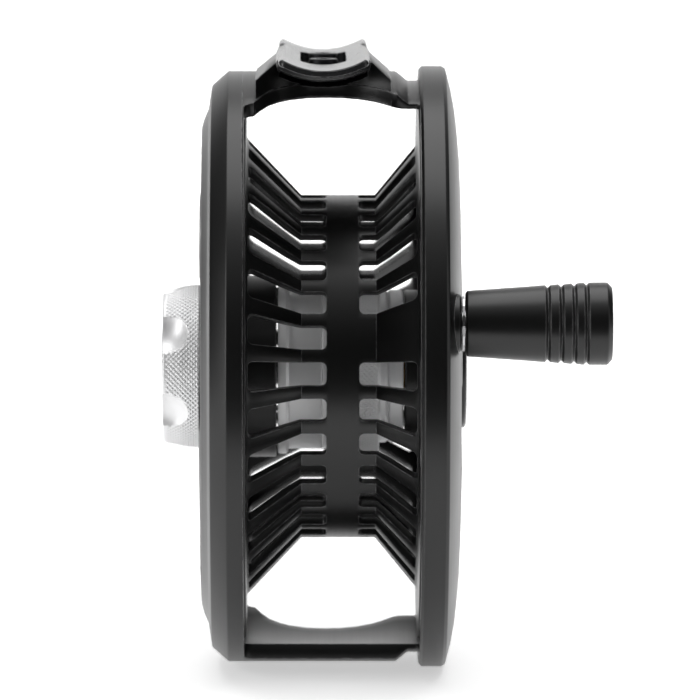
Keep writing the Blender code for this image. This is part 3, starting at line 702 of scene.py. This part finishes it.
def make_pad():
    """The flat-topped block on the top pillar; its near side follows the arch."""
    stations = [-13.1, -12.8, -12.0, -11.0, -10.0, -9.6, -9.2, -8.0, -6.5, -5.0, -3.5, -2.0, -0.5,
                1.0, 2.5, 4.0, 4.6, 5.0, 6.0, 7.0, 7.6, 8.1, 8.3]
    sections = []
    for x in stations:
        near, far, top = -pillar_reach(x) + 0.02, PILLAR_STRAIGHT - 0.02, pad_top(x)
        section = [(near, pad_root(near)), (near, top - 0.45), (near + 0.13, top - 0.13),
                   (near + 0.45, top), (far - 0.45, top), (far - 0.13, top - 0.13),
                   (far, top - 0.45), (far, pad_root(far))]
        sections.append([(x, y, z) for y, z in section])
    return loft("pad", sections)


def make_saddle():
    """Cutter for the groove under the foot, flared where it meets the arch."""
    radius, flare = 15.6, 1.0
    rays = 40
    reach = math.asin(6.9 / radius)
    lines = []
    for depth, grow in ((-3.0, flare + 3.0), (0.0, flare), (flare, 0.0)):
        line = []
        for ray in range(rays + 1):
            angle = -reach + 2.0 * reach * ray / rays
            size = radius + grow * 0.85
            x = FOOT_X + (radius + grow * 0.35) * math.sin(angle)
            line.append((x, -pillar_reach(x) + depth, CHANNEL_Z - size * math.cos(angle)))
        lines.append(line)
    lines.append([(x, 14.0, z) for x, _, z in lines[-1]])
    return loft("saddle", [line + [(*line[-1][:2], 56.0), (*line[0][:2], 56.0)]
                           for line in lines])


def make_frame():
    frame_piece = make_frame_shell()
    cut(frame_piece, make_pad(), "UNION")
    cut(frame_piece, make_saddle(), "DIFFERENCE")
    frame_piece.name = "frame_body"
    frame_piece.data.set_sharp_from_angle(angle=math.radians(32.0))
    return frame_piece


# ---- foot ----
FOOT_HALF, FOOT_END = 6.7, 30.0


def foot_section(y, skin, inset):
    """Outline (x, z) of the foot's gutter; inset shrinks it on every side."""
    corner = 1.2
    over = max(0.0, abs(y) - (FOOT_END - corner))
    half = FOOT_HALF - inset * 0.5 - (corner - math.sqrt(max(0.0, corner ** 2 - over ** 2)))
    top, bottom = CHANNEL + inset, CHANNEL + skin - inset
    reach = math.asin(half / CHANNEL) - 0.3 * (bottom - top) / CHANNEL
    rays = 28
    outline = []
    for ray in range(rays + 1):
        angle = -reach + 2.0 * reach * ray / rays
        outline.append((top, angle))
    bulge = (bottom - top) * 0.3 / CHANNEL
    for share in (0.12, 0.35, 0.65, 0.88):
        turn = math.sin(math.pi * share) * bulge
        outline.append((top + (bottom - top) * share, reach + turn))
    outline += [(bottom, angle) for _, angle in outline[rays::-1]]
    for share in (0.88, 0.65, 0.35, 0.12):
        turn = math.sin(math.pi * share) * bulge
        outline.append((top + (bottom - top) * share, -reach - turn))
    return [(FOOT_X + r * math.sin(a), y, CHANNEL_Z - r * math.cos(a)) for r, a in outline]


def make_foot():
    stations = [(30.0, 1.1, 0.3), (29.93, 1.1, 0.12), (29.75, 1.1, 0.02), (29.4, 1.1, 0.0),
                (29.0, 1.1, 0.0), (28.6, 1.12, 0.0), (24.0, 1.25, 0.0), (18.0, 1.4, 0.0),
                (16.4, 1.5, 0.0), (16.0, 2.35, 0.0), (15.6, 2.6, 0.0), (8.0, 2.6, 0.0)]
    rows = [(-y, skin, inset) for y, skin, inset in stations] + stations[::-1]
    foot = loft("foot", [foot_section(y, skin, inset) for y, skin, inset in rows])
    cut(foot, make_pocket(), "DIFFERENCE")
    foot.data.set_sharp_from_angle(angle=math.radians(32.0))
    return foot


def make_pocket():
    """Cutter for the screw pocket, with rounded corners."""
    half_x, half_y, corner = 3.65, 13.8, 1.6
    sections = []
    for z in (47.9, 49.25, 53.0):
        outline = []
        for sx, sy, start in ((1, 1, 0), (-1, 1, 90), (-1, -1, 180), (1, -1, 270)):
            for step in range(7):
                angle = math.radians(start + 15.0 * step)
                outline.append((FOOT_X + sx * (half_x - corner) + corner * math.cos(angle),
                                sy * (half_y - corner) + corner * math.sin(angle), z))
        sections.append(outline)
    return loft("pocket", sections)


# ---- screws ----
def socket_screw(name, node_name, axis, head, height, shank, socket, depth):
    """A socket-head screw in the place of a CAD screw along an axis, X or Z.

    head and shank are radii, socket is half the hexagon's width across flats.
    The head is at the screw's highest coordinate.
    """
    def hexagon(angle):
        return socket / math.cos(angle % (TAU / 6.0) - TAU / 12.0)

    low, top = span(node_name, axis)
    length = top - low
    rows = [(-depth, 0.0), (-depth, hexagon), (-0.08, hexagon), (0.0, lambda a: hexagon(a) + 0.08),
            (0.0, head - 0.25), (-0.06, head - 0.09), (-0.2, head), (-height + 0.1, head),
            (-height, head - 0.1), (-height, shank), (-length, shank), (-length, 0.0)]
    rows = [(top + x, r) for x, r in rows]
    if axis == 0:
        return carved(name, rows, 48, middle(node_name))
    piece = carved(name, rows, 48)
    centre = [sum(span(node_name, a)) / 2.0 * MM for a in (0, 1)]
    for vert in piece.data.vertices:
        x, y, z = vert.co
        vert.co = (z + centre[0], y + centre[1], x)
    piece.data.flip_normals()
    return piece


# ---- drag knob and bright parts ----
def knurl(count, pitch, depth):
    """Depth of a diamond knurl below its crests, at (x, angle)."""
    def groove(x, angle):
        turn, lean = count * angle / TAU, x / pitch
        first = abs((turn + lean) % 1.0 - 0.5) * 2.0
        second = abs((turn - lean) % 1.0 - 0.5) * 2.0
        return depth * (1.0 - min(first, second))
    return groove


def knurled_rows(x0, x1, radius, cut_depth, pitch, limit=None):
    """Rows of a knurled side, from x0 down to x1."""
    steps = round(abs(x1 - x0) / pitch * 6)
    rows = []
    for step in range(steps + 1):
        x = x0 + (x1 - x0) * step / steps

        def size(angle, x=x):
            r = radius(x) - cut_depth(x, angle)
            return min(r, limit(x, angle)) if limit else r
        rows.append((x, size))
    return rows


KNOB_FACE = -27.9
SCALLOP_STEP, SCALLOP_PHASE = TAU / 6.0, math.radians(30.0)
SCALLOP_AXIS, SCALLOP = 15.8, 5.0       # where each ball's centre lies, and its radius
UNCUT = 99.0


def scallop(x, angle):
    """Radius that the knob's ball-shaped finger scallops leave, or a large number."""
    nearest = SCALLOP_PHASE + round((angle - SCALLOP_PHASE) / SCALLOP_STEP) * SCALLOP_STEP
    turn = angle - nearest
    depth = SCALLOP ** 2 - (x - KNOB_FACE) ** 2 - (SCALLOP_AXIS * math.sin(turn)) ** 2
    return SCALLOP_AXIS * math.cos(turn) - math.sqrt(depth) if depth > 0.0 else UNCUT


def make_knob():
    face, base, pocket = KNOB_FACE, -21.9, 6.8
    side = lookup([(-22.2, 13.1), (-25.0, 12.85), (-27.4, 12.5)])

    def limited(x, r):
        return x, lambda angle: min(r, scallop(x, angle))

    def across(share):
        return face, lambda angle: pocket + (
            min(12.15, scallop(face, angle)) - pocket) * share

    rows = [(base + 0.4, 5.0), (base + 0.4, 9.0), (base, 9.1), limited(base, 12.7),
            limited(base - 0.1, 12.88), limited(base - 0.3, 12.95)]
    rows += knurled_rows(base - 0.35, face + 0.5, side, knurl(100, 0.8, 0.2), 0.8, scallop)
    rows += [limited(face + 0.42, 12.35), limited(face + 0.2, 12.32), limited(face + 0.06, 12.24)]
    rows += [across(share) for share in (1.0, 0.93, 0.8, 0.6, 0.4, 0.2, 0.04)]
    rows += [(face + 0.12, 6.68), (face + 0.6, 6.6), (face + 0.6, 6.4), (-25.6, 6.4),
             (-25.6, 2.8), (base - 0.6, 2.8), (base - 0.6, 5.0)]
    return carved("knob", rows, 600, smooth=28.0)


def make_knob_cap():
    return turned("knob_button", [
        (-27.3, 0.0, 0.0), (-27.3, 6.3, 0.1), (-27.9, 6.3, 0.15), (-28.1, 5.9, 0.15),
        (-28.06, 4.6, 0.05), (-27.86, 4.45, 0.1), (-27.86, 3.9, 0.1), (-28.04, 3.75, 0.05),
        (-28.08, 0.0, 0.0)], 96)


def make_housing():
    return turned("brake_drum", [
        (-0.2, 5.0, 0.1), (-0.2, 9.4, 0.1), (-0.45, 9.6, 0.1), (-0.45, 10.2, 0.1),
        (-0.2, 10.4, 0.1), (-0.2, 12.8, 0.1), (-0.6, 13.2, 0.15), (-2.4, 13.2, 0.05),
        (-2.6, 13.0, 0.05), (-2.8, 13.2, 0.05), (-8.0, 13.2, 0.3), (-8.0, 13.7, 0.1),
        (-8.3, 14.0, 0.15), (-9.6, 14.0, 0.15), (-9.6, 10.4, 0.1), (-1.4, 10.4, 0.1),
        (-1.4, 5.0, 0.1)], 192)


def make_hub():
    rows = [(10.3, 6.7), (10.3, 12.0), (10.1, 12.2), (8.3, 12.2), (8.15, 12.1), (7.9, 11.8),
            (7.65, 12.1), (7.5, 12.2), (6.7, 12.2), (6.5, 12.35), (6.5, 13.6), (6.4, 13.8)]
    rows += knurled_rows(6.2, 2.3, lambda x: 14.0, knurl(110, 0.8, 0.18), 0.8)
    rows += [(2.1, 13.8), (2.0, 13.6), (2.0, 5.2), (2.9, 5.2), (2.9, 6.7)]
    return carved("spool_boss", rows, 660, smooth=28.0)


def make_hub_cap():
    return turned("axle_cap", [
        (20.28, 0.0, 0.0), (20.28, 4.0, 0.2), (20.12, 4.3, 0.15), (20.12, 6.6, 0.15),
        (20.34, 6.9, 0.15), (20.4, 9.3, 0.3), (20.15, 9.8, 0.2), (19.45, 9.9, 0.1),
        (19.4, 6.4, 0.1), (18.2, 6.4, 0.1), (18.2, 0.0, 0.0)], 160)


# ---- spool with its collar and weight ----
def make_spool():
    spool = make_spool_shell()
    weight = middle("counterweight")
    cut(spool, turned("weight_recess", [(21.0, 0.0, 0.0), (21.0, 3.8, 0.0), (16.95, 3.8, 0.0),
                                        (16.95, 0.0, 0.0)], 64, weight), "DIFFERENCE")
    for name in ("hub_screw_1", "hub_screw_2", "hub_screw_3"):
        bore = turned("bore", [(21.0, 0.0, 0.0), (21.0, 1.4, 0.0), (17.2, 1.4, 0.0),
                               (17.2, 0.0, 0.0)], 32, middle(name))
        cut(spool, bore, "DIFFERENCE")
    collar = turned("collar", [(18.9, 0.0, 0.0), (18.9, 4.3, 0.3), (18.55, 4.6, 0.25),
                               (17.4, 4.6, 0.0), (17.4, 0.0, 0.0)], 72, HANDLE_YZ)
    cut(spool, collar, "UNION")
    boss = turned("boss", [(17.6, 0.0, 0.0), (17.6, 2.5, 0.0), (13.0, 2.5, 0.3),
                           (13.0, 0.0, 0.0)], 36, HANDLE_YZ)
    cut(spool, boss, "UNION")
    spool.name = "spool_body"
    spool.data.set_sharp_from_angle(angle=math.radians(35.0))
    return spool


def make_counterweight():
    return turned("balance_weight", [
        (17.95, 0.0, 0.0), (17.95, 1.0, 0.15), (18.1, 1.25, 0.1), (18.1, 3.25, 0.2),
        (17.8, 3.5, 0.15), (17.1, 3.5, 0.1), (17.1, 0.0, 0.0)], 64, middle("counterweight"))


# ---- handle ----
def make_handle():
    inner, outer = span("handle_knob", 0)
    bore, thin, widening, taper, notch, waist = 3.4, 5.1, 1.3, 19.0, 0.42, 29.0

    def radius(x):
        return thin + widening * min(1.0, (x - inner) / taper)

    profile = [(outer, bore, 0.15), (outer, 5.6, 0.5), (outer - 0.75, 6.4, 0.5)]
    for groove in (38.2, 36.3, 34.3, 32.2):
        profile += [(groove + notch, radius(groove), 0.1), (groove, radius(groove) - notch, 0.1),
                    (groove - notch, radius(groove), 0.1)]
    profile += [(waist, radius(waist), 3.0), (inner + 0.3, thin, 0.3), (inner, 4.75, 0.1),
                (inner, bore, 0.1)]
    return turned("handle_grip", profile, 128, HANDLE_YZ, 30.0, 4)


def make_handle_end():
    """The socket head of the post that the handle turns on."""
    return socket_screw("handle_post", "handle_stud", 0, head=3.1, height=1.2, shank=2.1,
                        socket=1.25, depth=0.8)


# ---- materials of the reel ----
EDGE_HIGHLIGHT_AND_WEAR = 0.8                      # how far convex edges are painted towards grey: a painted edge highlight, partly rubbed wear
EDGE_HIGHLIGHT_WIDTH = 0.0002             # in metres
# grey painted into convex edges: a painted highlight, partly bare metal rubbed through
HIGHLIGHT_AND_BARE_METAL = (0.45, 0.45, 0.46)


def black_anodised(name, centre, roughness=0.34, level=0.0035):
    """Blasted black aluminium: satin, with its convex edges painted brighter in places: a painted edge highlight,
    partly rubbed wear.
    """
    mat, tree, shader = new_material(name)
    place = node(tree, "ShaderNodeTexCoord").outputs["Object"]
    cloud = noise(tree, place, 70.0, 2.0)
    fine = noise(tree, place, 4200.0, 3.0)
    rings = turning_marks(tree, centre, 0.0004)
    base = mix_colour(tree, cloud, (level * 0.85,) * 3,
                      (level * 1.1, level * 1.12, level * 1.18))
    patches = remap(tree, noise(tree, place, 700.0, 3.0), 0.35, 0.65, 0.15, 1.0)
    # painted edge highlight, partly wear: convex edges, broken into patches, are mixed towards grey
    edges = maths(tree, "MULTIPLY", edge_highlight_and_wear(tree, EDGE_HIGHLIGHT_WIDTH, 0.90, 0.99), patches)
    highlit_and_worn = mix_colour(tree, maths(tree, "MULTIPLY", edges, EDGE_HIGHLIGHT_AND_WEAR), base, HIGHLIGHT_AND_BARE_METAL)
    tree.links.new(highlit_and_worn, shader.inputs["Base Color"])
    shine = weigh(tree, cloud, 0.08, rings, 0.06)
    tree.links.new(maths(tree, "ADD", shine, roughness - 0.07), shader.inputs["Roughness"])
    roughen(tree, shader, weigh(tree, fine, 0.3, rings, 0.12), 0.25, FINE_RELIEF)
    return mat


def woven(name, colour):
    """Carbon-fibre friction disc: a fine twill of dull and shiny tows."""
    mat, tree, shader = new_material(name)
    place = node(tree, "ShaderNodeTexCoord").outputs["Object"]
    checks = node(tree, "ShaderNodeTexChecker", Scale=1400.0)
    tree.links.new(place, checks.inputs["Vector"])
    tow = weigh(tree, checks.outputs["Fac"], 0.6, noise(tree, place, 6000.0, 2.0), 0.4)
    tree.links.new(mix_colour(tree, tow, colour, tuple(c * 2.2 for c in colour)),
                   shader.inputs["Base Color"])
    tree.links.new(remap(tree, tow, 0.0, 1.0, 0.45, 0.75), shader.inputs["Roughness"])
    roughen(tree, shader, tow, 0.4, 0.00004)
    return mat


def plastic(name, colour, roughness, grain):
    """Moulded plastic or rubber with a fine skin and slow colour change."""
    mat, tree, shader = new_material(name)
    place = node(tree, "ShaderNodeTexCoord").outputs["Object"]
    cloud = noise(tree, place, 160.0, 3.0)
    fine = noise(tree, place, 3500.0, 3.0)
    tree.links.new(mix_colour(tree, cloud, tuple(c * 0.88 for c in colour), colour),
                   shader.inputs["Base Color"])
    tree.links.new(remap(tree, fine, 0.3, 0.7, roughness - 0.08, roughness + 0.08),
                   shader.inputs["Roughness"])
    roughen(tree, shader, fine, grain, 0.00003)
    return mat


SLOT_OF = {part["node"]: part["material_slot"] for part in frame["record"]["subparts"]}


def finish_for(slot, name, centre):
    """The finish of a material slot, for a part turned about (y, z) = centre."""
    if name == "finish_foot":       # paler base colour and a smoother finish than the other black parts
        return black_anodised(name, centre, roughness=0.26, level=0.02)
    if slot == "anodised_black":
        return black_anodised(name, centre)
    if slot == "anodised_silver":
        return metal(name, (0.90, 0.90, 0.905), 0.42, 0.05, 0.35, centre, metallic=0.5,
                     colour_shift=0.03)
    if slot == "black_steel":
        return metal(name, (0.03, 0.03, 0.032), 0.42, 0.1, 0.2, centre)
    if slot == "bearing_bronze":
        return metal(name, (0.46, 0.29, 0.13), 0.36, 0.3, 0.2, centre)
    if slot == "carbon_friction":
        return woven(name, (0.02, 0.02, 0.022))
    if slot == "seal_rubber":
        return plastic(name, (0.018, 0.018, 0.018), 0.62, 0.5)
    if slot == "acetal":
        return plastic(name, (0.82, 0.80, 0.74), 0.42, 0.2)
    return metal(name, (0.56, 0.56, 0.57), 0.25, 0.4, 0.1, centre)


def finish_nodes(hidden):
    """Give every CAD node that still shows its slot's finish."""
    made = {}
    for name, obj in frame["nodes"].items():
        if name in hidden:
            continue
        at = middle(name)
        centre = (at[0] + AXLE.y / MM, at[1] + AXLE.z / MM)
        key = (SLOT_OF[name], round(centre[0], 2), round(centre[1], 2))
        if key not in made:
            made[key] = finish_for(key[0], "finish_%02d" % len(made), centre)
        set_material(obj, made[key])


# ---- stage, light and camera ----
FRONT_GLOW = 0.04           # strength of the world in front of the reel
PAPER = (0.93, 0.93, 0.93)
PAPER_GLOW = 0.55           # lifts the shadow under the reel
FLOOR_FRONT, FLOOR_BEND, FLOOR_SIDE, BEND, WALL_TOP = -0.15, 2.0, 0.6, 0.5, 3.0   # metres


def paper_material(name, colour, roughness):
    mat, tree, shader = new_material(name)
    place = node(tree, "ShaderNodeTexCoord").outputs["Object"]
    cloud = noise(tree, place, 3.0, 2.0)
    tree.links.new(mix_colour(tree, cloud, tuple(c * 0.985 for c in colour), colour),
                   shader.inputs["Base Color"])
    shader.inputs["Roughness"].default_value = roughness
    shader.inputs["Emission Color"].default_value = (*colour, 1.0)
    shader.inputs["Emission Strength"].default_value = PAPER_GLOW
    return mat


def make_stage():
    """A pale floor that curves up into a wall behind the reel. It ends just in front of
    the reel, so that the black faces turned to the camera see the dark studio instead."""
    bm = bmesh.new()
    outline = [(FLOOR_FRONT, 0.0)]
    outline += [(FLOOR_BEND + BEND * math.sin(a), BEND - BEND * math.cos(a))
                for a in [math.radians(7.5 * i) for i in range(13)]]
    outline.append((FLOOR_BEND + BEND, WALL_TOP))
    rows = [[bm.verts.new((x, y, z)) for x in (-FLOOR_SIDE, FLOOR_SIDE)] for y, z in outline]
    for low, high in zip(rows, rows[1:]):
        bm.faces.new((low[0], low[1], high[1], high[0]))
    mesh = bpy.data.meshes.new("studio_floor")
    bm.to_mesh(mesh)
    bm.free()
    mesh.shade_smooth()
    floor = bpy.data.objects.new("studio_floor", mesh)
    bpy.context.scene.collection.objects.link(floor)
    floor.location.z = cad_box[0][2]
    set_material(floor, paper_material("paper", PAPER, 0.75))


def area_light(name, place, target, size, power):
    data = bpy.data.lights.new(name, "AREA")
    data.shape = "RECTANGLE"
    data.size, data.size_y = size
    data.energy = power
    light = bpy.data.objects.new(name, data)
    light.location = place
    light.rotation_euler = (Vector(target) - Vector(place)).to_track_quat("-Z", "Y").to_euler()
    bpy.context.scene.collection.objects.link(light)


def make_world():
    """White behind, paler above and dark in front, like a product in a light tent; the
    camera itself sees white everywhere."""
    world = bpy.data.worlds.new("studio")
    world.use_nodes = True
    tree = world.node_tree
    split = node(tree, "ShaderNodeSeparateXYZ")
    tree.links.new(node(tree, "ShaderNodeTexCoord").outputs["Generated"], split.inputs[0])
    behind = remap(tree, split.outputs["Y"], 0.60, 0.98, 0.0, 1.0)
    above = remap(tree, split.outputs["Z"], 0.45, 0.98, 0.0, 0.6)
    glow = maths(tree, "MULTIPLY_ADD", maths(tree, "MAXIMUM", behind, above),
                 1.0 - FRONT_GLOW)
    glow.node.inputs[2].default_value = FRONT_GLOW
    seen = node(tree, "ShaderNodeLightPath").outputs["Is Camera Ray"]
    background = tree.nodes["Background"]
    background.inputs["Color"].default_value = (1.0, 1.0, 1.0, 1.0)
    tree.links.new(maths(tree, "MAXIMUM", glow, seen), background.inputs["Strength"])
    bpy.context.scene.world = world


def make_lights():
    make_world()
    reel, wall = (0.0, 0.0, 0.0), (0.0, 1.9, 0.2)
    area_light("top", (0.0, 0.1, 0.9), reel, (0.9, 0.9), 5.5)
    area_light("backdrop", (0.0, 0.9, 0.8), wall, (1.6, 0.5), 14.0)
    area_light("left", (-0.95, -0.5, 0.25), reel, (0.35, 0.9), 4.2)
    area_light("right", (0.95, -0.35, 0.25), reel, (0.35, 0.9), 1.0)


def make_camera():
    """A long lens, almost level, looking along +Y."""
    data = bpy.data.cameras.new("camera")
    data.lens, data.sensor_width = 397.0, 36.0
    data.shift_x, data.shift_y = 0.076, 0.0229
    camera = bpy.data.objects.new("camera", data)
    distance, tilt, aside = 1.235, math.radians(5.7), -0.0066
    camera.location = AXLE + Vector((aside, -distance * math.cos(tilt),
                                     distance * math.sin(tilt)))
    camera.rotation_euler = (math.pi / 2.0 - tilt, 0.0, 0.0)
    focus = bpy.data.objects.new("focus", None)
    focus.location = AXLE + Vector((0.0, -0.035, 0.0))      # at the front of the rims
    bpy.context.scene.collection.objects.link(focus)
    data.dof.use_dof = True
    data.dof.focus_object = focus
    data.dof.aperture_fstop = 40.0
    bpy.context.scene.collection.objects.link(camera)
    bpy.context.scene.camera = camera


# ---- assembly ----
def main():
    # Each new piece, its body, the CAD node it replaces, and the (y, z) its marks run round.
    wanted = [
        (make_frame(), "frame", "frame", ON_AXLE),
        (make_foot(), "frame", "reel_foot", ON_AXLE),
        (make_knob(), "knob", "drag_knob", ON_AXLE),
        (make_knob_cap(), "knob", "knob_cap", ON_AXLE),
        (make_housing(), "frame", "drag_housing", ON_AXLE),
        (make_spool(), "spool_group", "spool", ON_AXLE),
        (make_hub(), "spool_group", "spool_hub", ON_AXLE),
        (make_hub_cap(), "spool_group", "hub_cap", ON_AXLE),
        (make_counterweight(), "spool_group", "counterweight", middle("counterweight")),
        (make_handle_end(), "spool_group", "handle_stud", HANDLE_YZ),
        (make_handle(), "handle", "handle_knob", HANDLE_YZ)]
    for side in ("front", "rear"):
        name = "foot_screw_" + side
        screw = socket_screw("seat_screw_" + side, name, 2, head=2.3, height=1.5, shank=1.1,
                             socket=1.05, depth=0.9)
        wanted.append((screw, "frame", name, ON_AXLE))
    for index in (1, 2, 3):
        name = "hub_screw_%d" % index
        screw = socket_screw("web_screw_%d" % index, name, 0, head=1.2, height=1.4, shank=0.8,
                             socket=0.62, depth=0.7)
        wanted.append((screw, "spool_group", name, middle(name)))
    for piece, body, name, centre in wanted:
        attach(piece, body)
        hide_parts(name)
        set_material(piece, finish_for(SLOT_OF[name], "finish_" + piece.name, centre))
    finish_nodes({name for _, _, name, _ in wanted})
    make_stage()
    make_lights()
    make_camera()
    bpy.context.scene.view_settings.view_transform = "Standard"


main()
